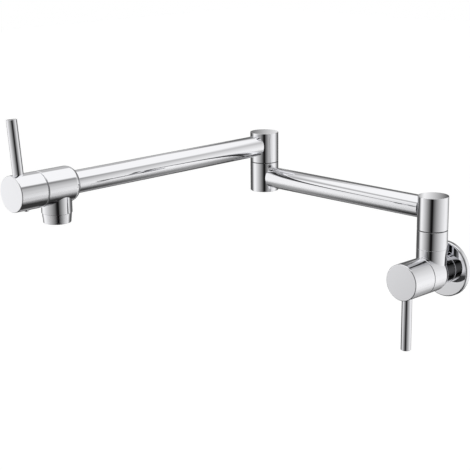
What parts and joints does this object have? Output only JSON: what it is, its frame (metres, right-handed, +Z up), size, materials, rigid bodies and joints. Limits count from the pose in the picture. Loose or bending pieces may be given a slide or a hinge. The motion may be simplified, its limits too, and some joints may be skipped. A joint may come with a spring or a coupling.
{
  "type": "wall mounted pot filler",
  "caption": "Wall mounted pot filler tap with a folding two-part arm, a quarter-turn lever valve at the wall and another at the spout.",
  "frame": {"origin": "where the inlet's axis meets the wall, at the back face of the wall flange", "axes": "+X along the wall, to the right as seen facing it, +Y into the wall along the inlet, +Z up"},
  "size_m": [0.27, 0.353, 0.2344],
  "materials": {
    "chrome": "polished chrome plate on brass",
    "brass": "machined, bare",
    "stainless": "machined stainless steel",
    "rubber": "black sealing rubber",
    "ceramic": "lapped white ceramic",
    "slide_plastic": "black acetal",
    "aerator_plastic": "moulded, pale grey"
  },
  "bodies": {
    "wall_mount": {"wall_flange": "chrome", "flange_gasket": "rubber", "flange_grip_ring": "rubber", "valve_body": "chrome", "inlet_washer": "rubber", "wall_cartridge": "brass", "wall_seat_seal": "rubber", "wall_fixed_disc": "ceramic", "column_collar": "chrome", "swivel_post": "brass", "column_seal": "rubber"},
    "wall_handle": {"wall_handle_hub": "chrome", "wall_lever": "chrome", "wall_stem": "brass", "wall_moving_disc": "ceramic", "wall_hub_screw": "stainless", "wall_hub_plug": "chrome"},
    "lower_arm": {"swivel_head": "chrome", "lower_arm_tube": "chrome", "elbow_socket": "chrome", "column_slide_ring": "slide_plastic", "elbow_slide_ring": "slide_plastic", "column_screw": "stainless", "elbow_screw": "stainless"},
    "upper_arm": {"elbow_head": "chrome", "elbow_post": "brass", "elbow_seal": "rubber", "upper_arm_tube": "chrome", "spout_body": "chrome", "spout_cartridge": "brass", "spout_seat_seal": "rubber", "spout_fixed_disc": "ceramic", "aerator_housing": "chrome", "aerator_insert": "aerator_plastic", "aerator_washer": "rubber"},
    "spout_handle": {"spout_handle_hub": "chrome", "spout_lever": "chrome", "spout_stem": "brass", "spout_moving_disc": "ceramic", "spout_hub_screw": "stainless", "spout_hub_plug": "chrome"}
  },
  "joints": [
    {"name": "wall_valve", "type": "hinge", "parent": "wall_mount", "child": "wall_handle", "pos_m": [0, -0.057, 0], "axis": [0, -1, 0], "range_deg": [0, 90]},
    {"name": "column_swivel", "type": "hinge", "parent": "wall_mount", "child": "lower_arm", "pos_m": [0, -0.025, 0.064], "axis": [0, 0, 1], "range_deg": [0, 180]},
    {"name": "elbow_swivel", "type": "hinge", "parent": "lower_arm", "child": "upper_arm", "pos_m": [-0.225, -0.025, 0.098], "axis": [0, 0, 1], "range_deg": [-180, 180]},
    {"name": "spout_valve", "type": "hinge", "parent": "upper_arm", "child": "spout_handle", "pos_m": [-0.225, -0.338, 0.098], "axis": [0, -1, 0], "range_deg": [0, 90]}
  ]
}
